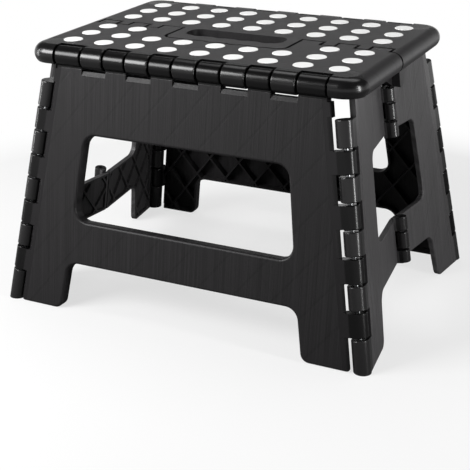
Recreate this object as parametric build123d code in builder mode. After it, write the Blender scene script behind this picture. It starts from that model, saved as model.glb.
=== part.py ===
from build123d import *
import os
from math import ceil, copysign, cos, hypot, radians, sin, sqrt, tan

# Folding step stool: two top halves, two leg panels and four half side panels, on pinned hinges.
# +X runs along the length, -Y is the front and +Z is up. The origin is on the floor, under the middle.
# Each moulding is a thin skin with a wall round it and crossed ribs behind it. All sizes are millimetres.

# ---- Overall sizes
stool_height = 220.0
top_length = 286.5
hinge_line_y = 95.1  # the long hinges under the top's edges, from the middle
foot_spread = 15.25  # the corner hinges at the floor, outside the top's ends

# ---- Lean of the hinge lines, degrees from upright
leg_lean = 7.7  # leg panels, seen from the side
corner_lean = 9.2  # corner hinges, seen from the front
side_fold_lean = 8.3  # folding line in the middle of each side, seen from the front

# ---- Walls of the mouldings
leg_depth = 9.2
leg_skin = 2.4
folded_gap = 0.3  # between a leg and the side half that folds against it
side_skin = 2.0
rim_wall = 2.2
rib = 1.8
rib_cell_length = 31.5
rib_cell_height = 38.8
rib_crossing_x = 6.9  # a crossing of a leg's ribs, from the middle
rib_crossing_up = 67.1  # the same crossing, up the panel from the floor
leg_edge_round = 2.2
side_edge_round = 1.0

# ---- Hinges
long_barrel = 8.7
leg_barrel_step = 0.5  # the leg's knuckles on the long hinge are this much smaller
corner_barrel = 7.0
side_fold_barrel = 5.2
side_fold_proud = 5.0  # the side fold's axis, outside the outer faces
leg_face_proud = 3.1  # the leg's outer face, outside the long hinge's axis
centre_barrel = 5.0
pin_radius = 2.0
pin_clearance = 0.05
pin_recess = 1.5  # from the end of a pin's bore to the face that it hides behind
pin_end_gap = 0.6  # between a pin's end and the end of its bore
corner_pin_foot = 3.0  # from the floor to the corner pins
corner_cap = 3.0  # solid end of the uppermost corner knuckle
bore_overrun = 1.0  # how far a bore runs out of an open end
knuckle_gap = 1.6
recess_gap = 0.7  # between a barrel and what it turns in
long_recess_gap = 2.0  # between the leg's long knuckles and the top
barrel_round = 0.9

# ---- Borders between the knuckles of each hinge
long_shares = [0.0363, 0.1082, 0.1812, 0.2517, 0.3236, 0.4080]  # from the middle, of the top's length
corner_shares = [-0.095, 0.1245, 0.2229, 0.3185, 0.4160, 0.5107, 0.6044, 0.7014, 0.7918, 0.8973]
upper_fold_shares = [0.7014, 0.7700, 0.8396, 0.8992]  # like the corner's, of the long hinge's height
lower_fold_shares = [0.1978, 0.2560, 0.3303, 0.3919]

# ---- Leg panels
leg_top_gap = 1.2  # under the long hinge's barrels
ledge_drop = 3.4  # height of the bevel along the leg's top, between its knuckles
ledge_slope = 33.0  # of that bevel's face, degrees up from facing forward
edge_bevel = 3.0  # width of the bevel beside each side knuckle
edge_bevel_slope = 35.0
arch_share = 0.1978  # heights of the openings, of the long hinge's height
window_low_share = 0.3715
window_high_share = 0.7137
leg_window_post_low = 47.3  # width beside the openings, to the corner hinge's line
leg_window_post_high = 44.9
leg_arch_post_low = 48.4
leg_arch_post_high = 48.3
leg_window_round = 11.0
arch_round = 11.0
foot_round = 7.5
foot_tip_round = 3.0
foot_sole = 3.6  # wall under each foot
slit_width = 4.0  # strip of bare skin beside each knuckle of a side half

# ---- Side halves
side_top_gap = 0.5  # between a folded side half and the long hinge's barrels
side_window_post_low = 51.0
side_window_post_high = 48.6
side_window_round = 8.0
side_arch_post_low = 46.2
side_arch_post_high = 48.1
side_fold_gap = 0.8  # between the two halves of a side
side_notch_width = 14.0  # step in each rear half's top edge, beside the centre hinge
side_notch_depth = 16.0

# ---- Top
plate = 2.6
top_rib_depth = 12.4
rim_corner = 18.0
rim_wrap = 45.0  # how far the rim curls under, degrees
rim_end_wall = 3.0
hinge_beam = 11.5  # solid bar of the top beside each long hinge
seam_gap = 2.5
tooth = 8.4
tooth_shares = [0.1941, 0.2534, 0.3054, 0.3550, 0.4049, 0.4576]  # from the middle, of the top's length
tongue_reach = 35.3
tongue_round = 7.0
slot_end_wall = 9.36  # from each end of the hand slot to the edge of the tongue
slot_front = 21.4
slot_back = 1.6
slot_round = 9.0
finger_share = 0.2286  # of the slot's length, for each finger wave
finger_depth = 1.6
finger_round = 10.0
lug_thickness = 6.0
lug_gap = 0.6
lug_arm = 16.0
lug_rise = 9.5  # from the centre hinge's axis to where its lugs stop widening
ear_inset = 0.5  # the ears' outer faces, inside the rim
ear_widening = 3.0  # of each ear's arm, from its round end up to the rim
ear_flare = 5.0  # hollow curve from the arm into the rim

# ---- Anti-slip dots
dot_pitch_share = 0.101  # of the top's length
dot_columns = 9
dot_rows = [21.2, 48.0, 74.8]  # from the middle, along Y
dot_radius = 7.8
dot_groove = 0.35
dot_sunk = 1.0
dot_proud = 0.3
dot_chamfer = 0.2

# ---- Worked out from the sizes above
lean = radians(leg_lean)
corner_slope = tan(radians(corner_lean))
fold_slope = tan(radians(side_fold_lean))
long_hinge_z = stool_height - long_barrel
side_hinge_foot_x = top_length / 2 + foot_spread
long_borders = [share * top_length for share in long_shares]
tooth_borders = [share * top_length for share in tooth_shares]
dot_pitch = dot_pitch_share * top_length
corner_borders = [share * long_hinge_z for share in corner_shares]
upper_fold_borders = [share * long_hinge_z for share in upper_fold_shares]
lower_fold_borders = [share * long_hinge_z for share in lower_fold_shares]
arch_height = arch_share * long_hinge_z
window_low = window_low_share * long_hinge_z
window_high = window_high_share * long_hinge_z
leg_long_barrel = long_barrel - leg_barrel_step
side_depth = 2 * corner_barrel - leg_depth - folded_gap
leg_top = long_hinge_z - long_barrel - leg_top_gap
side_top = long_hinge_z - sqrt((long_barrel + side_top_gap) ** 2 - (leg_depth - leg_face_proud) ** 2)
slot_length = 2 * (tooth_borders[0] - seam_gap - slot_end_wall)
finger_pitch = finger_share * slot_length
leg_face_y = hinge_line_y + leg_face_proud / cos(lean) + long_hinge_z * tan(lean)
corner_hinge_y = leg_face_y - corner_barrel / cos(lean)
leg_window_half_low = side_hinge_foot_x - corner_slope * window_low - leg_window_post_low
leg_window_half_high = side_hinge_foot_x - corner_slope * window_high - leg_window_post_high
leg_arch_half_low = side_hinge_foot_x - leg_arch_post_low
leg_arch_half_high = side_hinge_foot_x - corner_slope * arch_height - leg_arch_post_high
side_window_low_y = corner_hinge_y - tan(lean) * window_low - side_window_post_low
side_window_high_y = corner_hinge_y - tan(lean) * window_high - side_window_post_high
side_arch_low_y = corner_hinge_y - side_arch_post_low
side_arch_high_y = corner_hinge_y - tan(lean) * arch_height - side_arch_post_high
folded_half = side_fold_proud + 2 * corner_barrel - leg_face_proud
centre_hinge_z = long_hinge_z - folded_half
rim_path_x = top_length / 2 - long_barrel
rim_lip_z = long_hinge_z - long_barrel * sin(radians(rim_wrap))
bore_radius = pin_radius + pin_clearance
half_gap = knuckle_gap / 2
corner_setback = corner_barrel + recess_gap
reach = 2 * stool_height
rib_rows = ceil(stool_height / rib_cell_height) + 2
rib_columns = ceil(side_hinge_foot_x / rib_cell_length)

# Lines of the hinges, as run per millimetre of height, and the planes that hold them.
corner_run = Vector(-corner_slope, tan(lean), 1)
corner_foot = Vector(side_hinge_foot_x, -corner_hinge_y, 0)
fold_run = Vector(-fold_slope, 0, 1)
side_normal = Vector(1, (corner_slope - fold_slope) / tan(lean), fold_slope).normalized()
side_face_x = (corner_foot + side_normal * corner_barrel).dot(side_normal) / side_normal.X
fold_foot = Vector(side_face_x + side_fold_proud / side_normal.X, 0, 0)
leg_face = Plane(origin=(0, -leg_face_y, 0), x_dir=(1, 0, 0), z_dir=(0, -1, tan(lean)))
side_face = Plane(origin=(side_face_x, 0, 0), x_dir=(0, 1, 0), z_dir=side_normal)
corner_line = Plane(origin=corner_foot, z_dir=corner_run)
fold_line = Plane(origin=fold_foot, z_dir=fold_run)
long_line = Plane(origin=(0, -hinge_line_y, long_hinge_z), z_dir=(1, 0, 0))
centre_line = Plane(origin=(0, 0, centre_hinge_z), z_dir=(1, 0, 0))


def rods(line, spans, radius, end_round=0.0):
    """Round bars along a hinge line, one for each span of it."""
    bars = []
    for start, end in spans:
        with BuildPart() as bar:
            with BuildSketch(line.offset(start)):
                Circle(radius)
            extrude(amount=end - start)
            if end_round > 0:
                fillet(bar.edges().filter_by(GeomType.CIRCLE), end_round)
        bars.append(bar.part)
    return bars


def knuckle_spans(borders, members, stretch=1.0):
    """Start and end of some knuckles along their hinge, without the gaps between them."""
    spans = []
    for member in members:
        start = borders[member] * stretch + half_gap
        end = borders[member + 1] * stretch - half_gap
        spans.append((start, end))
    return spans


def widened(spans, slack):
    """The same spans, longer by slack at both ends."""
    return [(start - slack, end + slack) for start, end in spans]


def on_face(face, point):
    """Place of a point on a face, seen square to it."""
    local = face.to_local_coords(point)
    return Vector(local.X, local.Y)


def corner_point(face, height, distance):
    """Point of a face at a height above the floor, a distance inward of the corner hinge."""
    foot = on_face(face, corner_foot)
    run = on_face(face, corner_foot + corner_run) - foot
    start = foot + run.normalized().rotate(Axis.Z, copysign(90, foot.X)) * distance
    return start + run * (height - face.from_local_coords(start).Z)


def corner_strips(face, spans, near, far):
    """Strips of a face that run beside the corner hinge, from near to far off its line."""
    foot = on_face(face, corner_foot)
    along = (on_face(face, corner_foot + corner_run) - foot).normalized()
    inward = along.rotate(Axis.Z, copysign(90, foot.X))
    with BuildSketch(Plane.XY) as strips:
        for start, end in spans:
            low = foot + along * start
            high = foot + along * end
            Polygon(
                low + inward * near,
                low + inward * far,
                high + inward * far,
                high + inward * near,
                align=None,
            )
    return strips.sketch


def diamonds(crossing_x, crossing_up):
    """Field of the diamond hollows that the crossed ribs leave, laid out from one crossing."""
    half_length = (rib_cell_length - rib * hypot(1, rib_cell_length / rib_cell_height)) / 2
    half_height = half_length * rib_cell_height / rib_cell_length
    corners = [(-half_length, 0), (0, -half_height), (half_length, 0), (0, half_height)]
    with BuildSketch(Plane.XY) as field:
        for row in range(-rib_rows, rib_rows + 1):
            shift = rib_cell_length / 2 * ((row + 1) % 2)
            up = crossing_up + row * rib_cell_height / 2
            for column in range(-rib_columns, rib_columns + 1):
                with Locations((crossing_x + column * rib_cell_length + shift, up)):
                    Polygon(*corners, align=None)
    return field.sketch


def extended(low, high, half_low, half_high):
    """Half width of an arch a barrel's radius below the floor, with its sides kept straight."""
    return half_low + (half_low - half_high) / (high - low) * corner_barrel


# ---- Front leg panel, and the rear one as its mirror image
leg_up = 1 / cos(lean)
leg_knuckles = knuckle_spans(corner_borders, [1, 3, 5, 7], corner_run.length)
side_knuckles = knuckle_spans(corner_borders, [0, 2, 4, 6, 8], corner_run.length)
long_edges = [-x for x in reversed(long_borders)] + long_borders
leg_long_knuckles = knuckle_spans(long_edges, range(0, 11, 2))
top_long_knuckles = knuckle_spans(long_edges, range(1, 11, 2))
leg_axis_height = on_face(leg_face, long_line.origin).Y
leg_plate_top = leg_top * leg_up
leg_foot_tip_x = abs(corner_point(leg_face, 0, corner_setback).X)

leg_arch_half_under = extended(0, arch_height, leg_arch_half_low, leg_arch_half_high)

with BuildSketch(Plane.XY) as leg_window:
    Polygon(
        (-leg_window_half_low, window_low * leg_up),
        (leg_window_half_low, window_low * leg_up),
        (leg_window_half_high, window_high * leg_up),
        (-leg_window_half_high, window_high * leg_up),
        align=None,
    )
    fillet(leg_window.vertices(), leg_window_round)

with BuildSketch(Plane.XY) as leg_arch:
    Polygon(
        (-leg_arch_half_under, -corner_barrel * leg_up),
        (leg_arch_half_under, -corner_barrel * leg_up),
        (leg_arch_half_high, arch_height * leg_up),
        (-leg_arch_half_high, arch_height * leg_up),
        align=None,
    )
    fillet(leg_arch.vertices().group_by(Axis.Y)[-1], arch_round)

tab_length = corner_setback + slit_width + corner_barrel
leg_tabs = corner_strips(leg_face, leg_knuckles, 0, tab_length)
leg_slits = corner_strips(
    leg_face, widened(side_knuckles, knuckle_gap), corner_barrel, corner_setback + slit_width
)


def leg_outline(inset, bottom):
    """Leg panel seen square to its face, without its knuckles, and smaller by inset."""
    low = corner_point(leg_face, bottom, corner_setback + inset)
    high = corner_point(leg_face, leg_top - inset, corner_setback + inset)
    with BuildSketch(Plane.XY) as outline:
        Polygon((-low.X, low.Y), (low.X, low.Y), (high.X, high.Y), (-high.X, high.Y), align=None)
        if inset > 0:
            offset(leg_window.sketch, amount=inset, mode=Mode.SUBTRACT)
            offset(leg_arch.sketch, amount=inset, mode=Mode.SUBTRACT)
        else:
            add(leg_window.sketch, mode=Mode.SUBTRACT)
            add(leg_arch.sketch, mode=Mode.SUBTRACT)
    return outline.sketch


def foot_edges(part, across, from_middle):
    """Edges on the floor whose middle lies this far out, measured along the direction across."""
    floor = part.edges().group_by(Axis.Z)[0]
    return [edge for edge in floor if abs(abs(edge.center().dot(across)) - from_middle) < foot_round / 3]


def leg_outer_face(part):
    """The leg's outer face."""
    return part.faces().sort_by(Axis((0, 0, 0), leg_face.z_dir))[-1]


def leg_opening_edges(part):
    """Edges of the leg's outer face round its window and its arch."""
    face = leg_outer_face(part)
    low_edges = [edge for edge in face.outer_wire().edges() if edge.center().Z < arch_height + half_gap]
    arch = [edge for edge in low_edges if abs(edge.center().X) < leg_arch_half_low]
    return face.inner_wires().edges() + arch


def edge_bevels():
    """Wedges that bevel the leg's right edge, beside the knuckles of the side half."""
    run = corner_run.normalized()
    outward = run.cross(leg_face.z_dir)
    slope = radians(edge_bevel_slope)
    start = leg_face.from_local_coords(corner_point(leg_face, 0, corner_setback + edge_bevel))
    bevel_face = Plane(origin=start, x_dir=run, z_dir=leg_face.z_dir * cos(slope) + outward * sin(slope))
    with BuildPart() as wedges:
        with BuildSketch(bevel_face):
            for low, high in widened(side_knuckles, knuckle_gap):
                with Locations((low, 0)):
                    Rectangle(high - low, 2 * edge_bevel, align=(Align.MIN, Align.MAX))
        extrude(amount=leg_depth)
    return wedges.part


leg_diamonds = diamonds(rib_crossing_x, rib_crossing_up)
leg_edge_bevels = edge_bevels()
leg_barrels = rods(corner_line, leg_knuckles, corner_barrel, barrel_round)
leg_long_barrels = rods(long_line, leg_long_knuckles, leg_long_barrel, barrel_round)
corner_bore_span = (corner_borders[0], corner_borders[-1] * corner_run.length - corner_cap)
corner_bore = rods(corner_line, [corner_bore_span], bore_radius)
long_bore_end = long_borders[-1] + half_gap + rim_end_wall - pin_recess
long_bore = rods(long_line, [(-long_bore_end, long_bore_end)], bore_radius)

with BuildSketch(Plane.XY) as leg_hollow_plan:
    add(leg_outline(rim_wall, foot_sole))
    fillet(leg_hollow_plan.vertices().group_by(Axis.Y)[0], foot_round - rim_wall)

with BuildPart() as leg_hollows:
    with BuildSketch(leg_face.offset(-leg_skin)):
        add(leg_hollow_plan.sketch)
        add(leg_diamonds, mode=Mode.INTERSECT)
        add(leg_slits)
        mirror(leg_slits, about=Plane.YZ)
    extrude(amount=-leg_depth)

with BuildPart() as ledge_bevels:
    ledge_start = (0, -leg_face_y + tan(lean) * (leg_top - ledge_drop), leg_top - ledge_drop)
    ledge_normal = (0, -cos(radians(ledge_slope)), sin(radians(ledge_slope)))
    with BuildSketch(Plane(origin=ledge_start, x_dir=(1, 0, 0), z_dir=ledge_normal)):
        for start, end in widened(top_long_knuckles, knuckle_gap):
            with Locations((start, 0)):
                Rectangle(end - start, leg_depth, align=Align.MIN)
    extrude(amount=leg_depth)

with BuildPart() as front_leg_panel:
    with BuildSketch(leg_face):
        add(leg_outline(0, -corner_barrel))
        add(leg_tabs)
        mirror(leg_tabs, about=Plane.YZ)
        for start, end in leg_long_knuckles:
            with Locations((start, leg_plate_top - rim_wall)):
                Rectangle(end - start, leg_axis_height - leg_plate_top + rim_wall, align=Align.MIN)
    extrude(amount=-leg_depth)
    split(bisect_by=Plane.XY)
    fillet(foot_edges(front_leg_panel.part, Vector(1, 0, 0), leg_arch_half_low), foot_round)
    fillet(foot_edges(front_leg_panel.part, Vector(1, 0, 0), leg_foot_tip_x), foot_tip_round)
    fillet(leg_opening_edges(front_leg_panel.part), leg_edge_round)
    add(ledge_bevels.part, mode=Mode.SUBTRACT)
    add(leg_edge_bevels, mode=Mode.SUBTRACT)
    mirror(leg_edge_bevels, about=Plane.YZ, mode=Mode.SUBTRACT)
    add(leg_hollows.part, mode=Mode.SUBTRACT)
    add(leg_barrels)
    mirror(leg_barrels, about=Plane.YZ)
    add(leg_long_barrels)
    add(corner_bore, mode=Mode.SUBTRACT)
    mirror(corner_bore, about=Plane.YZ, mode=Mode.SUBTRACT)
    add(long_bore, mode=Mode.SUBTRACT)

with BuildPart() as rear_leg_panel:
    mirror(front_leg_panel.part, about=Plane.XZ)


# ---- Side halves: the front right one and the rear right one, and their mirror images
fold_barrels_high = knuckle_spans(upper_fold_borders, [0, 1, 2], fold_run.length)
fold_barrels_low = knuckle_spans(lower_fold_borders, [0, 1, 2], fold_run.length)
fold_spans = {
    "front": [fold_barrels_high[0], fold_barrels_high[2], fold_barrels_low[0], fold_barrels_low[2]],
    "rear": [fold_barrels_high[1], fold_barrels_low[1]],
}
side_tabs = corner_strips(side_face, side_knuckles, 0, tab_length)
side_diamonds = diamonds(0, rib_crossing_up)
side_barrels = rods(corner_line, side_knuckles, corner_barrel, barrel_round)
side_arch_under_y = extended(0, arch_height, side_arch_low_y, side_arch_high_y)


def side_point(y, z):
    """Point of the side's outer face at some depth and height."""
    x = side_face_x - (side_normal.Y * y + side_normal.Z * z) / side_normal.X
    return on_face(side_face, Vector(x, y, z))


with BuildSketch(Plane.XY) as side_window:
    Polygon(
        side_point(-side_window_low_y, window_low),
        side_point(side_window_low_y, window_low),
        side_point(side_window_high_y, window_high),
        side_point(-side_window_high_y, window_high),
        align=None,
    )
    fillet(side_window.vertices(), side_window_round)

with BuildSketch(Plane.XY) as side_arch:
    Polygon(
        side_point(-side_arch_under_y, -corner_barrel),
        side_point(side_arch_under_y, -corner_barrel),
        side_point(side_arch_high_y, arch_height),
        side_point(-side_arch_high_y, arch_height),
        align=None,
    )
    fillet(side_arch.vertices().sort_by(Axis.Y)[-2:], arch_round)


def side_outline(inset, bottom):
    """Front half of a side seen square to its face, without its knuckles, and smaller by inset."""
    low = corner_point(side_face, bottom, corner_setback + inset)
    high = corner_point(side_face, side_top - inset, corner_setback + inset)
    fold_edge = -side_fold_gap / 2 - inset
    fold_low = side_point(0, bottom).Y
    fold_high = side_point(0, side_top - inset).Y
    with BuildSketch(Plane.XY) as outline:
        Polygon(low, (fold_edge, fold_low), (fold_edge, fold_high), high, align=None)
        if inset > 0:
            offset(side_window.sketch, amount=inset, mode=Mode.SUBTRACT)
            offset(side_arch.sketch, amount=inset, mode=Mode.SUBTRACT)
        else:
            add(side_window.sketch, mode=Mode.SUBTRACT)
            add(side_arch.sketch, mode=Mode.SUBTRACT)
    return outline.sketch


def fold_webs(spans):
    """Blocks that join the side fold's knuckles to the front half of a side."""
    foot = on_face(side_face, fold_foot)
    with BuildSketch(side_face.offset(side_fold_proud)) as webs:
        for start, end in spans:
            with Locations((foot.X, foot.Y + start)):
                Rectangle(side_fold_barrel, end - start, align=(Align.MAX, Align.MIN))
    return webs.sketch


def side_opening_edges(part):
    """Edges of the front side half's outer face round its window and its arch."""
    face = part.faces().sort_by(Axis((0, 0, 0), side_normal))[-1]
    edges = face.outer_wire().edges().filter_by_position(Axis.Z, half_gap, window_high + half_gap)
    return [edge for edge in edges if side_fold_gap < abs(edge.center().Y) < side_arch_low_y]


with BuildSketch(Plane.XY) as side_hollow_plan:
    add(side_outline(rim_wall, foot_sole))
    fillet(side_hollow_plan.vertices().sort_by(Axis.Y)[:2], foot_round - rim_wall)

with BuildPart() as side_hollows:
    with BuildSketch(side_face.offset(-side_skin)):
        add(side_hollow_plan.sketch)
        add(side_diamonds, mode=Mode.INTERSECT)
    extrude(amount=-side_depth)


def side_half(own, other):
    """Front right half of a side, with the fold knuckles of the spans in own."""
    barrels = rods(fold_line, fold_spans[own], side_fold_barrel, barrel_round)
    clearings = rods(fold_line, widened(fold_spans[other], knuckle_gap), side_fold_barrel + recess_gap)
    bores = rods(fold_line, [(0, reach)], bore_radius)
    webs = fold_webs(fold_spans[own])
    with BuildPart() as half:
        with BuildSketch(side_face):
            add(side_outline(0, -corner_barrel))
            add(side_tabs)
        extrude(amount=-side_depth)
        split(bisect_by=Plane.XY)
        fillet(foot_edges(half.part, Vector(0, 1, 0), side_arch_low_y), foot_round)
        fillet(side_opening_edges(half.part), side_edge_round)
        add(side_hollows.part, mode=Mode.SUBTRACT)
        add(clearings, mode=Mode.SUBTRACT)
        extrude(webs, amount=-side_fold_proud - side_skin / 2)
        add(barrels)
        add(side_barrels)
        add(bores, mode=Mode.SUBTRACT)
        add(corner_bore, mode=Mode.SUBTRACT)
        split(bisect_by=Plane.XY)
    return half.part


with BuildPart() as right_side_front:
    add(side_half("front", "rear"))

with BuildPart() as right_side_rear:
    mirror(side_half("rear", "front"), about=Plane.XZ)
    with BuildSketch(Plane.YZ):
        with Locations((0, side_top + rim_wall)):
            Rectangle(side_notch_width, side_notch_depth + rim_wall, align=(Align.MIN, Align.MAX))
    extrude(amount=reach, mode=Mode.SUBTRACT)

with BuildPart() as left_side_front:
    mirror(right_side_front.part, about=Plane.YZ)

with BuildPart() as left_side_rear:
    mirror(right_side_rear.part, about=Plane.YZ)


# ---- The top before it is cut in two
def top_plan(inset):
    """Outline of the top in plan, smaller by inset."""
    with BuildSketch(Plane.XY) as plan:
        RectangleRounded(top_length - 2 * inset, 2 * (hinge_line_y + long_barrel - inset), rim_corner - inset)
    return plan.sketch


with BuildPart() as front_rim:
    with BuildLine() as rim_path:
        FilletPolyline(
            (rim_path_x, 0, long_hinge_z),
            (rim_path_x, -hinge_line_y, long_hinge_z),
            (-rim_path_x, -hinge_line_y, long_hinge_z),
            (-rim_path_x, 0, long_hinge_z),
            radius=rim_corner - long_barrel,
        )
    with BuildSketch(Plane(origin=(rim_path_x, 0, long_hinge_z), x_dir=(1, 0, 0), z_dir=(0, -1, 0))):
        with BuildLine():
            outer = CenterArc((0, 0), long_barrel, -rim_wrap, 90 + rim_wrap)
            inner = CenterArc((0, 0), long_barrel - plate, -rim_wrap, 90 + rim_wrap)
            Line(outer @ 0, inner @ 0)
            Line(outer @ 1, inner @ 1)
        make_face()
    sweep(path=rim_path.wire())

with BuildPart() as top_shell:
    add(front_rim.part)
    mirror(front_rim.part, about=Plane.XZ)
    with BuildSketch(Plane.XY.offset(stool_height)):
        add(top_plan(long_barrel))
    extrude(amount=-top_rib_depth)


def grip_bulges(front_y, margin):
    """Shallow finger waves along a front edge of the handle."""
    with BuildSketch(Plane.XY) as waves:
        for finger in range(4):
            x = (finger - 1.5) * finger_pitch
            with Locations((x, finger_round - finger_depth - front_y)):
                Circle(finger_round + margin)
    return waves.sketch


def tongue_plan(margin):
    """Tongue of the rear half, which carries the handle, larger by margin."""
    half_width = tooth_borders[0] - seam_gap + margin
    with BuildSketch(Plane.XY) as tongue:
        with Locations((0, -tongue_reach - margin)):
            Rectangle(2 * half_width, reach, align=(Align.CENTER, Align.MIN))
        fillet(tongue.vertices().group_by(Axis.Y)[0], tongue_round + margin)
        add(grip_bulges(tongue_reach, margin))
    return tongue.sketch


def slot_plan(margin):
    """Hand slot, larger by margin."""
    with BuildSketch(Plane.XY) as slot:
        with Locations((0, -slot_front - margin)):
            RectangleRounded(
                slot_length + 2 * margin,
                slot_front + slot_back + 2 * margin,
                slot_round + margin,
                align=(Align.CENTER, Align.MIN),
            )
        add(grip_bulges(slot_front, margin))
    return slot.sketch


def front_plan(grow):
    """Region of the front half, with its teeth, larger by grow along the seam."""
    with BuildSketch(Plane.XY) as plan:
        with Locations((0, grow - tooth - seam_gap)):
            Rectangle(2 * reach, reach, align=(Align.CENTER, Align.MAX))
        for inner, outer in zip(tooth_borders[0::2], tooth_borders[1::2]):
            for side in (-1, 1):
                with Locations((side * (inner + outer) / 2, grow)):
                    Rectangle(outer - inner + 2 * grow, reach, align=(Align.CENTER, Align.MAX))
        add(tongue_plan(seam_gap - grow), mode=Mode.SUBTRACT)
    return plan.sketch


def lug_profile(front, back):
    """Round end about the centre hinge, widening to a block under the front half."""
    with BuildSketch(Plane.XY) as profile:
        with Locations((0, centre_hinge_z)):
            Circle(centre_barrel)
        with Locations((front, centre_hinge_z + lug_rise)):
            Rectangle(back - front, barrel_round, align=(Align.MIN, Align.MAX))
        make_hull()
        with Locations((front, lug_top_z)):
            Rectangle(back - front, lug_top_z - centre_hinge_z - lug_rise, align=(Align.MIN, Align.MAX))
    return profile.sketch


def ear_profile():
    """Round end about the centre hinge, with a widening arm that flares into the rim."""
    arm_back = centre_barrel + ear_widening
    with BuildSketch(Plane.XY) as profile:
        with Locations((0, centre_hinge_z)):
            Circle(centre_barrel)
        with Locations((-tooth, rim_lip_z)):
            Rectangle(arm_back + tooth, barrel_round, align=Align.MIN)
        make_hull()
        with Locations((-tooth, rim_lip_z)):
            Rectangle(ear_back + tooth, lug_top_z - rim_lip_z, align=Align.MIN)
        fillet(profile.vertices().sort_by_distance((arm_back, rim_lip_z, 0))[0], ear_flare)
    return profile.sketch


def dot_places(side):
    """Middles of the dots on the front half, for side -1, or on the rear half, for side 1."""
    places = []
    for row in dot_rows:
        for column in range(dot_columns):
            x = (column - (dot_columns - 1) / 2) * dot_pitch
            on_tongue = side < 0 and row < tongue_reach and abs(x) < tooth_borders[0] + dot_radius
            if not on_tongue:
                places.append((x, side * row))
    return places


def dot_recesses(side):
    """Round recesses that the dots of one half sit in."""
    with BuildPart() as recesses:
        with BuildSketch(Plane.XY.offset(stool_height)):
            with Locations(dot_places(side)):
                Circle(dot_radius + dot_groove)
        extrude(amount=-dot_sunk)
    return recesses.part


def dots(side):
    """Dots of one half of the top."""
    with BuildPart() as grip:
        with BuildSketch(Plane.XY.offset(stool_height - dot_sunk)):
            with Locations(dot_places(side)):
                Circle(dot_radius)
        extrude(amount=dot_sunk + dot_proud)
        chamfer(grip.edges().group_by(Axis.Z)[-1], dot_chamfer)
    return grip.part


# ---- Hinge side of the top's front half. The rear half's is its mirror image
lug_top_z = stool_height - top_rib_depth / 2
ear_back = centre_barrel + ear_widening + ear_flare + half_gap
hinge_end = long_borders[-1] + half_gap
ear_outer = rim_path_x + long_barrel * cos(radians(rim_wrap)) - ear_inset
ear_inner = ear_outer - lug_thickness
lug_outer = ear_inner - lug_gap
lug_inner = lug_outer - lug_thickness
top_barrels = rods(long_line, top_long_knuckles, long_barrel, barrel_round)
top_recess = leg_long_barrel + long_recess_gap
top_recesses = rods(long_line, widened(leg_long_knuckles, knuckle_gap), top_recess)
hinge_field_y = hinge_line_y - hinge_beam
top_diamonds = diamonds(0, 0)

with BuildPart() as rim_ends:
    with BuildSketch(Plane.YZ.offset(hinge_end)):
        with Locations((-hinge_line_y, long_hinge_z)):
            Circle(long_barrel)
        with Locations((-hinge_line_y, rim_lip_z)):
            Rectangle(reach, reach, align=(Align.CENTER, Align.MAX), mode=Mode.SUBTRACT)
    extrude(amount=rim_end_wall)
    mirror(about=Plane.YZ)

with BuildPart() as rim_cut:
    with BuildSketch(Plane.XY):
        with Locations((0, -hinge_line_y)):
            Rectangle(2 * hinge_end, reach, align=(Align.CENTER, Align.MAX))
    extrude(amount=reach)

with BuildPart() as front_hollows:
    with BuildSketch(Plane.XY.offset(stool_height - plate)):
        with Locations((0, -hinge_field_y)):
            Rectangle(
                2 * (rim_path_x - rim_wall),
                hinge_field_y - tooth - seam_gap - rim_wall,
                align=(Align.CENTER, Align.MIN),
            )
        add(top_diamonds, mode=Mode.INTERSECT)
        add(tongue_plan(seam_gap + rim_wall), mode=Mode.SUBTRACT)
        with Locations((lug_inner - rim_wall, 0), (-lug_inner + rim_wall, 0)):
            Rectangle(2 * lug_thickness, 2 * (lug_arm + tooth + seam_gap + rim_wall), mode=Mode.SUBTRACT)
    extrude(amount=-top_rib_depth)

with BuildPart() as rear_hollows:
    with BuildSketch(Plane.XY.offset(stool_height - plate)):
        with Locations((0, hinge_field_y)):
            Rectangle(
                2 * (rim_path_x - rim_wall),
                hinge_field_y - seam_gap - rim_wall,
                align=(Align.CENTER, Align.MAX),
            )
        add(top_diamonds, mode=Mode.INTERSECT)
        add(slot_plan(rim_wall), mode=Mode.SUBTRACT)
    extrude(amount=-top_rib_depth)

lug_back = -tooth - 2 * seam_gap

with BuildPart() as lugs:
    with BuildSketch(Plane.YZ.offset(lug_inner)):
        add(lug_profile(lug_back - lug_arm, lug_back))
    extrude(amount=lug_thickness)
    with BuildSketch(Plane.XY.offset(stool_height - top_rib_depth + plate)):
        Rectangle(reach, reach)
    extrude(amount=reach, mode=Mode.SUBTRACT)
    mirror(about=Plane.YZ)

with BuildPart() as ears:
    with BuildSketch(Plane.YZ.offset(ear_inner)):
        add(ear_profile())
    extrude(amount=lug_thickness)
    with BuildSketch(Plane.YZ.offset(rim_path_x - rim_wall)):
        with Locations((-tooth, rim_lip_z)):
            Rectangle(ear_back + tooth, lug_top_z - rim_lip_z, align=Align.MIN)
    extrude(amount=ear_inner - rim_path_x + rim_wall)
    mirror(about=Plane.YZ)

centre_bore_start = lug_inner - bore_overrun
centre_bore_end = ear_outer - pin_recess
centre_bore_spans = [(centre_bore_start, centre_bore_end), (-centre_bore_end, -centre_bore_start)]
centre_bores = rods(centre_line, centre_bore_spans, bore_radius)

with BuildPart() as top_front:
    add(top_shell.part)
    extrude(front_plan(0), amount=reach, mode=Mode.INTERSECT)
    add(front_hollows.part, mode=Mode.SUBTRACT)
    add(rim_cut.part, mode=Mode.SUBTRACT)
    add(rim_ends.part)
    add(top_recesses, mode=Mode.SUBTRACT)
    add(top_barrels)
    add(lugs.part)
    add(long_bore, mode=Mode.SUBTRACT)
    add(centre_bores, mode=Mode.SUBTRACT)
    add(dot_recesses(-1), mode=Mode.SUBTRACT)

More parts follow.
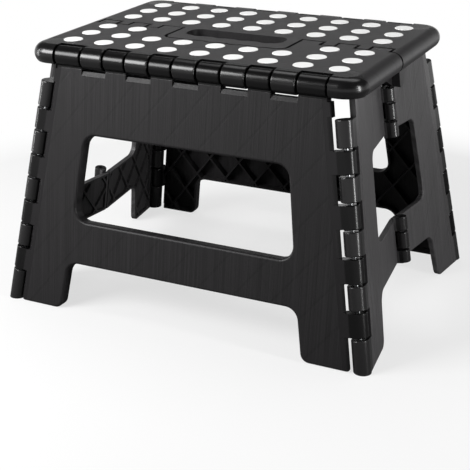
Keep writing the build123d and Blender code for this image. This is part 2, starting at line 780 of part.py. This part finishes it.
with BuildPart() as top_rear:
    add(top_shell.part)
    extrude(front_plan(seam_gap), amount=reach, mode=Mode.SUBTRACT)
    add(rear_hollows.part, mode=Mode.SUBTRACT)
    extrude(slot_plan(0), amount=reach, mode=Mode.SUBTRACT)
    mirror(rim_cut.part, about=Plane.XZ, mode=Mode.SUBTRACT)
    mirror(rim_ends.part, about=Plane.XZ)
    mirror(top_recesses, about=Plane.XZ, mode=Mode.SUBTRACT)
    mirror(top_barrels, about=Plane.XZ)
    add(ears.part)
    mirror(long_bore, about=Plane.XZ, mode=Mode.SUBTRACT)
    add(centre_bores, mode=Mode.SUBTRACT)
    add(dot_recesses(1), mode=Mode.SUBTRACT)

with BuildPart() as front_grip_dots:
    add(dots(-1))

with BuildPart() as rear_grip_dots:
    add(dots(1))


# ---- Hinge pins, each fixed in one piece and running in the other
long_pin_end = long_bore_end - pin_end_gap
corner_pin_high = corner_bore_span[1] - pin_end_gap

with BuildPart() as front_long_pin:
    add(rods(long_line, [(-long_pin_end, long_pin_end)], pin_radius))

with BuildPart() as rear_long_pin:
    mirror(front_long_pin.part, about=Plane.XZ)

with BuildPart() as right_centre_pin:
    add(rods(centre_line, [(lug_inner + pin_end_gap, centre_bore_end - pin_end_gap)], pin_radius))

with BuildPart() as left_centre_pin:
    mirror(right_centre_pin.part, about=Plane.YZ)

with BuildPart() as front_right_corner_pin:
    add(rods(corner_line, [(corner_pin_foot, corner_pin_high)], pin_radius))

with BuildPart() as front_left_corner_pin:
    mirror(front_right_corner_pin.part, about=Plane.YZ)

with BuildPart() as rear_right_corner_pin:
    mirror(front_right_corner_pin.part, about=Plane.XZ)

with BuildPart() as rear_left_corner_pin:
    mirror(front_left_corner_pin.part, about=Plane.XZ)

with BuildPart() as right_upper_fold_pin:
    add(rods(fold_line, [fold_barrels_high[1]], pin_radius))

with BuildPart() as right_lower_fold_pin:
    add(rods(fold_line, [fold_barrels_low[1]], pin_radius))

with BuildPart() as left_upper_fold_pin:
    mirror(right_upper_fold_pin.part, about=Plane.YZ)

with BuildPart() as left_lower_fold_pin:
    mirror(right_lower_fold_pin.part, about=Plane.YZ)


pieces = {
    "front_leg_panel": front_leg_panel,
    "rear_leg_panel": rear_leg_panel,
    "right_side_front": right_side_front,
    "right_side_rear": right_side_rear,
    "left_side_front": left_side_front,
    "left_side_rear": left_side_rear,
    "top_front": top_front,
    "top_rear": top_rear,
    "front_grip_dots": front_grip_dots,
    "rear_grip_dots": rear_grip_dots,
    "front_long_pin": front_long_pin,
    "rear_long_pin": rear_long_pin,
    "right_centre_pin": right_centre_pin,
    "left_centre_pin": left_centre_pin,
    "front_right_corner_pin": front_right_corner_pin,
    "front_left_corner_pin": front_left_corner_pin,
    "rear_right_corner_pin": rear_right_corner_pin,
    "rear_left_corner_pin": rear_left_corner_pin,
    "right_upper_fold_pin": right_upper_fold_pin,
    "right_lower_fold_pin": right_lower_fold_pin,
    "left_upper_fold_pin": left_upper_fold_pin,
    "left_lower_fold_pin": left_lower_fold_pin,
}
os.makedirs("parts", exist_ok=True)
for name, piece in pieces.items():
    piece.part.label = name
    export_step(piece.part, f"parts/{name}.step")
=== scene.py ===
import math

import bmesh
import bpy
from mathutils import Matrix, Vector

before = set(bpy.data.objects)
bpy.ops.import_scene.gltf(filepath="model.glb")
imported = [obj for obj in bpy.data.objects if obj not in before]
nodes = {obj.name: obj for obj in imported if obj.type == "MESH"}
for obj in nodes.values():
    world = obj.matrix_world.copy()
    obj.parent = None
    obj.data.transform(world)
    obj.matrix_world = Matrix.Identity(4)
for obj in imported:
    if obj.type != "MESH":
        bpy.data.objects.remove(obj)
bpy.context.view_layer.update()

MM = 0.001  # metres in a millimetre

# ---- Hinge lines and ribs of the mouldings, as in the CAD model. Each line is given by a point that it
# holds and the way it runs, in the quarter where x and y are above 0. The other quarters mirror it.
LEG_LEAN = math.tan(math.radians(7.7))
CORNER_LEAN = math.tan(math.radians(9.2))
FOLD_LEAN = math.tan(math.radians(8.3))
LONG_HINGE_Y = 95.1 * MM
LONG_HINGE_Z = 211.3 * MM
CORNER_BARREL = 7.0 * MM
LEG_PROUD = 3.1 * MM  # the leg's outer face, outside the long hinge's axis
FOLD_PROUD = 5.0 * MM  # the side fold's axis, outside the side's outer face
CORNER_FOOT_X = 158.5 * MM
CORNER_INSET = (CORNER_BARREL - LEG_PROUD) * math.hypot(1, LEG_LEAN)
CORNER_FOOT_Y = LONG_HINGE_Y + LONG_HINGE_Z * LEG_LEAN - CORNER_INSET
SIDE_SPLAY = (CORNER_LEAN - FOLD_LEAN) / LEG_LEAN
SIDE_OUTSET = (CORNER_BARREL + FOLD_PROUD) * math.hypot(1, SIDE_SPLAY, FOLD_LEAN)
FOLD_FOOT_X = CORNER_FOOT_X - SIDE_SPLAY * CORNER_FOOT_Y + SIDE_OUTSET
CORNER_FOOT = (CORNER_FOOT_X, CORNER_FOOT_Y, 0.0)
CORNER_RUN = (-CORNER_LEAN, -LEG_LEAN, 1.0)
FOLD_FOOT = (FOLD_FOOT_X, 0.0, 0.0)
FOLD_RUN = (-FOLD_LEAN, 0.0, 1.0)
LONG_HINGE = (0.0, LONG_HINGE_Y, LONG_HINGE_Z)
LONG_RUN = (1.0, 0.0, 0.0)
RIB_LENGTH = 31.5 * MM
RIB_HEIGHT = 38.8 * MM
RIB_X = 6.9 * MM  # a crossing of the ribs, from the middle and from the floor
RIB_Z = 66.5 * MM

# The lined flat begins this far from a hinge line, and nearer than the second distance all is smooth
CORNER_FLAT = 9.5 * MM
CORNER_SMOOTH = 8.5 * MM
FOLD_FLAT = 6.6 * MM
FOLD_SMOOTH = 5.8 * MM
LONG_FLAT = 9.8 * MM
LONG_SMOOTH = 9.2 * MM
BORDER_FLAT = 15.4 * MM
BORDER_SMOOTH = 15.0 * MM

# ---- The plastic's finish
# Lines and grain on such a moulding are near 0.2 mm, too fine to show, so both are drawn about 1 mm wide.
LINE_WIDTH = 0.8 * MM
LINE_STRETCH = 0.006  # a line's width as a share of its length
LINE_NOISE = {"Scale": 1 / LINE_WIDTH, "Detail": 1.0, "Roughness": 0.6}
GRAIN_SIZE = 1.0 * MM
GRAIN_NOISE = {"Scale": 1 / GRAIN_SIZE, "Detail": 3.0, "Roughness": 0.6}
SHINY_PATCH = 20.0 * MM  # where the mould's wall is a little smoother or rougher
PATCH_NOISE = {"Scale": 1 / SHINY_PATCH, "Detail": 3.0}
PATCH_DEPTH = 0.08
SINK_EDGE = 0.06  # half-width of a sunk diagonal at its edge, as a share of a rib cell
SINK_BOTTOM = 0.02  # the same, at its deepest
FAINT_SINK_EDGE = 0.045
FAINT_SINK_BOTTOM = 0.015
FAINT_SINK = 0.3  # depth of the faint diagonals, as a share of the others
SINK_PAINTED_SHADE = -0.16  # painted shade: a sunk diagonal is painted this much darker
SINK_HEIGHT = -0.5
BARREL_PAINTED_SHADE = -0.75  # painted shade: the barrels are painted darker than the flats, though their plastic is the same
BARREL_ROUGH = 0.24
RELIEF = 0.12 * MM
RELIEF_STRENGTH = 0.6

# ---- The inserts' and the wire's finish
RUBBER_GRIT = 1.0 * MM  # real grit is about 0.1 mm, too fine to show, so it is drawn coarser
RUBBER_NOISE = {"Scale": 1 / RUBBER_GRIT, "Detail": 3.0}
RUBBER_RELIEF = 0.03 * MM
RUBBER_STRENGTH = 0.2
RUBBER_ROUGH = 0.6
DRAW_MARK = 2.0 * MM  # real draw marks are finer than 0.1 mm, too fine to show, so they are drawn coarser
WIRE_NOISE = {"Scale": 1 / DRAW_MARK, "Detail": 2.0}
WIRE_ROUGH = (0.2, 0.45)

# ---- The studio
FLOOR_SIZE = 6.0
FLOOR_CELLS = 8
FLOOR_GLOW = 0.68  # share of plain white in the floor near the object; the rest takes light and shadow
FLOOR_TONE = 0.6  # tone of that rest as the camera sees it
FLOOR_BOUNCE = 0.2  # its tone as it throws light back at the object
FLOOR_FADE = (0.24, 0.52)  # metres from the middle over which the floor becomes plain white
BOUNCE_FADE = (0.6, 1.3)  # the same, for the floor as it is mirrored in the object
WORLD_LIGHT = 0.12  # how strongly the room lights matt surfaces
CEILING = 0.08  # tone of the ceiling beside the white walls
WALL_FADE = (0.02, 0.32)  # steepness of a ray over which the wall gives way to the ceiling
WHITE = (1.0, 1.0, 1.0, 1.0)
LIGHTS = (  # name, place and aim in metres, size in metres, watts
    ("key", (-0.58, -0.66, 0.62), (-0.12, -0.1, 0.17), (0.55, 0.36), 15),
    ("overhead", (0.0, 0.5, 1.7), (0.0, 0.0, 0.1), (1.6, 0.8), 11),
    ("right strip", (0.95, -0.15, 0.31), (0.0, -0.1, 0.31), (0.09, 0.58), 7),
    ("left strip", (-0.95, -0.25, 0.31), (0.0, -0.1, 0.31), (0.07, 0.58), 2.5),
)

# ---- The camera
AZIMUTH = math.radians(26.0717)
ELEVATION = math.radians(22.5488)
ROLL = math.radians(0.36594)
CAMERA_PLACE = (0.41413, -0.86095, 0.43625)
LENS = 89.35
SENSOR = 36.0

SMOOTH_STEP = {"interpolation_type": "SMOOTHSTEP"}


# ---- Helpers
def linear(hex_code):
    """Linear RGBA of an sRGB hex colour."""
    channels = []
    for start in (0, 2, 4):
        value = int(hex_code[start : start + 2], 16) / 255
        channels.append(value / 12.92 if value <= 0.04045 else ((value + 0.055) / 1.055) ** 2.4)
    return (*channels, 1.0)


def put(tree, kind, inputs=None, **settings):
    """Adds a node with its settings and links.

    An input is a plain value, a node, whose first output is linked, or a (node, output) pair.
    """
    node = tree.nodes.new("ShaderNode" + kind)
    for key, value in settings.items():
        setattr(node, key, value)
    for key, value in (inputs or {}).items():
        if isinstance(value, bpy.types.Node):
            value = (value, 0)
        if isinstance(value, tuple) and isinstance(value[0], bpy.types.Node):
            tree.links.new(value[0].outputs[value[1]], node.inputs[key])
        else:
            node.inputs[key].default_value = value
    return node


def new_material(name):
    """Empty node material, with its tree."""
    material = bpy.data.materials.new(name)
    material.use_nodes = True
    material.node_tree.nodes.clear()
    return material, material.node_tree


def assign(material, *names):
    """Gives a material to CAD nodes."""
    for name in names:
        obj = nodes[name]
        obj.data.materials.clear()
        obj.data.materials.append(material)


# ---- Black polypropylene mouldings
def hinge_distance(tree, quarter, foot, run):
    """Metres from a hinge line that holds foot and follows run."""
    along = tuple(Vector(run).normalized())
    arm = put(tree, "VectorMath", {0: quarter, 1: foot}, operation="SUBTRACT")
    across = put(tree, "VectorMath", {0: arm, 1: along}, operation="CROSS_PRODUCT")
    return (put(tree, "VectorMath", {0: across}, operation="LENGTH"), "Value")


def from_line(tree, cells):
    """How far a count of cells is from the nearest whole number, 0 to 0.5."""
    moved = put(tree, "Math", {0: cells, 1: 0.5}, operation="ADD")
    part = put(tree, "Math", {0: moved}, operation="FRACT")
    centred = put(tree, "Math", {0: part, 1: 0.5}, operation="SUBTRACT")
    return put(tree, "Math", {0: centred}, operation="ABSOLUTE")


def sunk_diagonals(tree, place, across, up, middle):
    """1 on the diagonals that the ribs behind a skin have sunk into it, and less on the fainter set."""
    parts = put(tree, "SeparateXYZ", {"Vector": place})
    from_middle = put(tree, "Math", {0: (parts, across), 1: middle[0]}, operation="SUBTRACT")
    above_middle = put(tree, "Math", {0: (parts, up), 1: middle[1]}, operation="SUBTRACT")
    cells_across = put(tree, "Math", {0: from_middle, 1: RIB_LENGTH}, operation="DIVIDE")
    cells_up = put(tree, "Math", {0: above_middle, 1: RIB_HEIGHT}, operation="DIVIDE")
    total = put(tree, "Math", {0: cells_across, 1: cells_up}, operation="ADD")
    difference = put(tree, "Math", {0: cells_across, 1: cells_up}, operation="SUBTRACT")
    strong_width = {"From Min": SINK_EDGE, "From Max": SINK_BOTTOM}
    faint_width = {"From Min": FAINT_SINK_EDGE, "From Max": FAINT_SINK_BOTTOM}
    strong = put(tree, "MapRange", {"Value": from_line(tree, difference), **strong_width}, **SMOOTH_STEP)
    line = put(tree, "MapRange", {"Value": from_line(tree, total), **faint_width}, **SMOOTH_STEP)
    faint = put(tree, "Math", {0: line, 1: FAINT_SINK}, operation="MULTIPLY")
    return put(tree, "Math", {0: strong, 1: faint}, operation="MAXIMUM")


def moulded_plastic(name, base, rough, gloss, line_depth, grain_depth, across, up, middle):
    """Injection-moulded black polypropylene, with lined satin flats and smooth, glossier barrels.

    The flats scatter light softly, with faint diagonals where the ribs behind have sunk them; these
    diagonals are painted darker as painted shade. The barrels, lips and borders have none of that, so they
    catch narrow highlights, and the barrels are painted darker as painted shade.
    """
    material, tree = new_material(name)
    place = (put(tree, "TexCoord"), "Object")
    quarter = put(tree, "VectorMath", {0: place}, operation="ABSOLUTE")
    corner = hinge_distance(tree, quarter, CORNER_FOOT, CORNER_RUN)
    fold = hinge_distance(tree, quarter, FOLD_FOOT, FOLD_RUN)
    long = hinge_distance(tree, quarter, LONG_HINGE, LONG_RUN)
    smooth_skins = []
    for distance, flat_from, smooth_to in (
        (corner, CORNER_FLAT, CORNER_SMOOTH),
        (fold, FOLD_FLAT, FOLD_SMOOTH),
        (long, LONG_FLAT, LONG_SMOOTH),
        (corner, BORDER_FLAT, BORDER_SMOOTH),
    ):
        limits = {"From Min": flat_from, "From Max": smooth_to}
        smooth_skins.append(put(tree, "MapRange", {"Value": distance, **limits}, **SMOOTH_STEP))
    on_corner, on_fold, on_long, on_border = smooth_skins
    on_side = put(tree, "Math", {0: on_corner, 1: on_fold}, operation="MAXIMUM")
    barrel = put(tree, "Math", {0: on_side, 1: on_long}, operation="MAXIMUM")
    smooth = put(tree, "Math", {0: barrel, 1: on_border}, operation="MAXIMUM")
    flat = put(tree, "Math", {0: 1.0, 1: smooth}, operation="SUBTRACT")

    line_run = (1.0, 0.0, LINE_STRETCH) if across == "X" else (0.0, 1.0, LINE_STRETCH)
    stretched = put(tree, "VectorMath", {0: place, 1: line_run}, operation="MULTIPLY")
    lines = put(tree, "TexNoise", {"Vector": stretched, **LINE_NOISE})
    grain = put(tree, "TexNoise", {"Vector": place, **GRAIN_NOISE})
    diagonals = sunk_diagonals(tree, place, across, up, middle)
    sunk = put(tree, "Math", {0: diagonals, 1: flat}, operation="MULTIPLY")

    centred_lines = put(tree, "Math", {0: lines, 1: 0.5}, operation="SUBTRACT")
    line_shade = put(tree, "Math", {0: centred_lines, 1: line_depth}, operation="MULTIPLY")
    centred_grain = put(tree, "Math", {0: grain, 1: 0.5}, operation="SUBTRACT")
    grain_shade = put(tree, "Math", {0: centred_grain, 1: flat}, operation="MULTIPLY")
    shade = put(tree, "Math", {0: line_shade, 1: flat, 2: 1.0}, operation="MULTIPLY_ADD")
    # painted shade: the sunk diagonals and the barrels are darkened in the colour; the lines and grain are
    # the plastic's own tone
    for mark, strength in ((sunk, SINK_PAINTED_SHADE), (barrel, BARREL_PAINTED_SHADE), (grain_shade, grain_depth)):
        shade = put(tree, "Math", {0: mark, 1: strength, 2: shade}, operation="MULTIPLY_ADD")
    colour = put(tree, "VectorMath", {0: linear(base)[:3], "Scale": shade}, operation="SCALE")

    patches = put(tree, "TexNoise", {"Vector": place, **PATCH_NOISE})
    centred_patches = put(tree, "Math", {0: patches, 1: 0.5}, operation="SUBTRACT")
    smoother = put(tree, "Math", {0: smooth, 1: BARREL_ROUGH - rough, 2: rough}, operation="MULTIPLY_ADD")
    patchy = {0: centred_patches, 1: PATCH_DEPTH, 2: smoother}
    roughness = put(tree, "Math", patchy, operation="MULTIPLY_ADD")

    line_height = put(tree, "Math", {0: lines, 1: line_depth}, operation="MULTIPLY")
    grain_height = put(tree, "Math", {0: grain, 1: flat}, operation="MULTIPLY")
    height = put(tree, "Math", {0: line_height, 1: flat}, operation="MULTIPLY")
    for mark, strength in ((grain_height, grain_depth), (sunk, SINK_HEIGHT)):
        height = put(tree, "Math", {0: mark, 1: strength, 2: height}, operation="MULTIPLY_ADD")
    bump = put(tree, "Bump", {"Height": height, "Strength": RELIEF_STRENGTH, "Distance": RELIEF})
    finish = {"Base Color": colour, "Roughness": roughness, "Specular IOR Level": gloss, "Normal": bump}
    put(tree, "OutputMaterial", {"Surface": put(tree, "BsdfPrincipled", finish)})
    return material


# ---- Soft inserts and steel pins
def white_rubber():
    """Moulded white thermoplastic rubber of the grip dots: matt and very slightly warm."""
    material, tree = new_material("white_thermoplastic_rubber")
    place = (put(tree, "TexCoord"), "Object")
    grit = put(tree, "TexNoise", {"Vector": place, **RUBBER_NOISE})
    bump = put(tree, "Bump", {"Height": grit, "Strength": RUBBER_STRENGTH, "Distance": RUBBER_RELIEF})
    finish = {"Base Color": linear("e8e8e7"), "Roughness": RUBBER_ROUGH, "Normal": bump}
    put(tree, "OutputMaterial", {"Surface": put(tree, "BsdfPrincipled", finish)})
    return material


def steel_wire():
    """Drawn steel wire of the pins: bright metal with uneven, slightly blurred reflections."""
    material, tree = new_material("drawn_steel_wire")
    place = (put(tree, "TexCoord"), "Object")
    marks = put(tree, "TexNoise", {"Vector": place, **WIRE_NOISE})
    rough = put(tree, "MapRange", {"Value": marks, "To Min": WIRE_ROUGH[0], "To Max": WIRE_ROUGH[1]})
    finish = {"Base Color": linear("b9bbbd"), "Metallic": 1.0, "Roughness": rough}
    put(tree, "OutputMaterial", {"Surface": put(tree, "BsdfPrincipled", finish)})
    return material


leg_plastic = moulded_plastic(
    "black_polypropylene_leg",
    # painted shade: the legs' black polypropylene is given a darker base than the sides', though the
    # plastic is the same
    base="1d1c1d",
    rough=0.46,
    gloss=0.2,
    line_depth=1.7,
    grain_depth=0.4,
    across="X",
    up="Z",
    middle=(RIB_X, RIB_Z),
)
side_plastic = moulded_plastic(
    "black_polypropylene_side",
    # painted light: the sides are given the lightest base of the three mouldings, though all are the same
    # black polypropylene
    base="3a393a",
    rough=0.44,
    gloss=0.32,
    line_depth=1.8,
    grain_depth=1.0,
    across="Y",
    up="Z",
    middle=(0.0, RIB_Z),
)
top_plastic = moulded_plastic(
    "black_polypropylene_top",
    # painted shade: the top is given a darker base than the sides, though the plastic is the same
    base="232223",
    rough=0.36,
    gloss=0.33,
    line_depth=0.0,
    grain_depth=1.4,
    across="X",
    up="Y",
    middle=(RIB_X, 0.0),
)
assign(leg_plastic, "front_leg_panel", "rear_leg_panel")
assign(side_plastic, "right_side_front", "right_side_rear", "left_side_front", "left_side_rear")
assign(top_plastic, "top_front", "top_rear")
assign(white_rubber(), "front_grip_dots", "rear_grip_dots")
assign(steel_wire(), *[name for name in nodes if name.endswith("_pin")])


# ---- Floor and light
def white_studio_floor():
    """White painted floor: dull enough near the object to keep its shadow, and plain white further off."""
    material, tree = new_material("white_studio_floor")
    path = put(tree, "LightPath")
    camera_ray = (path, "Is Camera Ray")
    passed_on = {0: (path, "Is Transmission Ray"), 1: (path, "Is Glossy Ray")}
    bounced = put(tree, "Math", passed_on, operation="MAXIMUM")
    place = (put(tree, "TexCoord"), "Object")
    away = (put(tree, "VectorMath", {0: place}, operation="LENGTH"), "Value")
    floor_fade = {"Value": away, "From Min": FLOOR_FADE[0], "From Max": FLOOR_FADE[1]}
    bounce_fade = {"Value": away, "From Min": BOUNCE_FADE[0], "From Max": BOUNCE_FADE[1]}
    far = put(tree, "MapRange", floor_fade, **SMOOTH_STEP)
    bounced_far = put(tree, "MapRange", bounce_fade, **SMOOTH_STEP)
    near_glow = put(tree, "Math", {0: camera_ray, 1: FLOOR_GLOW}, operation="MULTIPLY")
    far_glow = put(tree, "Math", {0: camera_ray, 1: far}, operation="MULTIPLY")
    bounced_glow = put(tree, "Math", {0: bounced, 1: bounced_far}, operation="MULTIPLY")
    seen_glow = put(tree, "Math", {0: near_glow, 1: far_glow}, operation="MAXIMUM")
    glow = put(tree, "Math", {0: seen_glow, 1: bounced_glow}, operation="MAXIMUM")
    tone = put(tree, "MapRange", {"Value": camera_ray, "To Min": FLOOR_BOUNCE, "To Max": FLOOR_TONE})
    matt = put(tree, "BsdfDiffuse", {"Color": tone})
    white = put(tree, "Emission", {"Color": WHITE, "Strength": 1.0})
    put(tree, "OutputMaterial", {"Surface": put(tree, "MixShader", {0: glow, 1: matt, 2: white})})
    return material


def studio_floor():
    """Wide flat floor under the feet."""
    mesh = bpy.data.meshes.new("floor")
    shape = bmesh.new()
    bmesh.ops.create_grid(shape, x_segments=FLOOR_CELLS, y_segments=FLOOR_CELLS, size=FLOOR_SIZE)
    shape.to_mesh(mesh)
    shape.free()
    mesh.materials.append(white_studio_floor())
    floor = bpy.data.objects.new("floor", mesh)
    bpy.context.scene.collection.objects.link(floor)


def studio_room():
    """White walls round the object under a dim ceiling, which light matt surfaces only a little."""
    world = bpy.data.worlds.new("studio")
    world.use_nodes = True
    tree = world.node_tree
    tree.nodes.clear()
    place = (put(tree, "TexCoord"), "Generated")
    height = (put(tree, "SeparateXYZ", {"Vector": place}), "Z")
    fade = {"From Min": WALL_FADE[0], "From Max": WALL_FADE[1], "To Min": 1.0, "To Max": CEILING}
    wall = put(tree, "MapRange", {"Value": height, **fade}, **SMOOTH_STEP)
    path = put(tree, "LightPath")
    straight = {0: (path, "Is Camera Ray"), 1: (path, "Is Transmission Ray")}
    unbounced = put(tree, "Math", straight, operation="MAXIMUM")
    seen = put(tree, "Math", {0: unbounced, 1: (path, "Is Glossy Ray")}, operation="MAXIMUM")
    backdrop = put(tree, "Background", {"Color": wall, "Strength": 1.0})
    light = put(tree, "Background", {"Color": WHITE, "Strength": WORLD_LIGHT})
    mix = put(tree, "MixShader", {0: seen, 1: light, 2: backdrop})
    put(tree, "OutputWorld", {"Surface": mix})
    bpy.context.scene.world = world


def soft_box(name, place, aim, size, watts):
    """Soft box at place, turned to aim."""
    lamp = bpy.data.lights.new(name, "AREA")
    lamp.shape = "RECTANGLE"
    lamp.size, lamp.size_y = size
    lamp.energy = watts
    box = bpy.data.objects.new(name, lamp)
    box.location = place
    box.rotation_euler = (Vector(aim) - Vector(place)).to_track_quat("-Z", "Y").to_euler()
    bpy.context.scene.collection.objects.link(box)


studio_floor()
studio_room()
for light in LIGHTS:
    soft_box(*light)

# ---- Camera
level_share = math.cos(ELEVATION)
back = Vector((math.sin(AZIMUTH) * level_share, -math.cos(AZIMUTH) * level_share, math.sin(ELEVATION)))
level_right = Vector((math.cos(AZIMUTH), math.sin(AZIMUTH), 0))
level_up = back.cross(level_right)
right = math.cos(ROLL) * level_right - math.sin(ROLL) * level_up
up = math.sin(ROLL) * level_right + math.cos(ROLL) * level_up
camera_data = bpy.data.cameras.new("camera")
camera_data.sensor_width = SENSOR
camera_data.lens = LENS
camera = bpy.data.objects.new("camera", camera_data)
turn = Matrix((right, up, back)).transposed().to_4x4()
camera.matrix_world = Matrix.Translation(CAMERA_PLACE) @ turn
bpy.context.scene.collection.objects.link(camera)
bpy.context.scene.camera = camera
bpy.context.scene.view_settings.view_transform = "Standard"
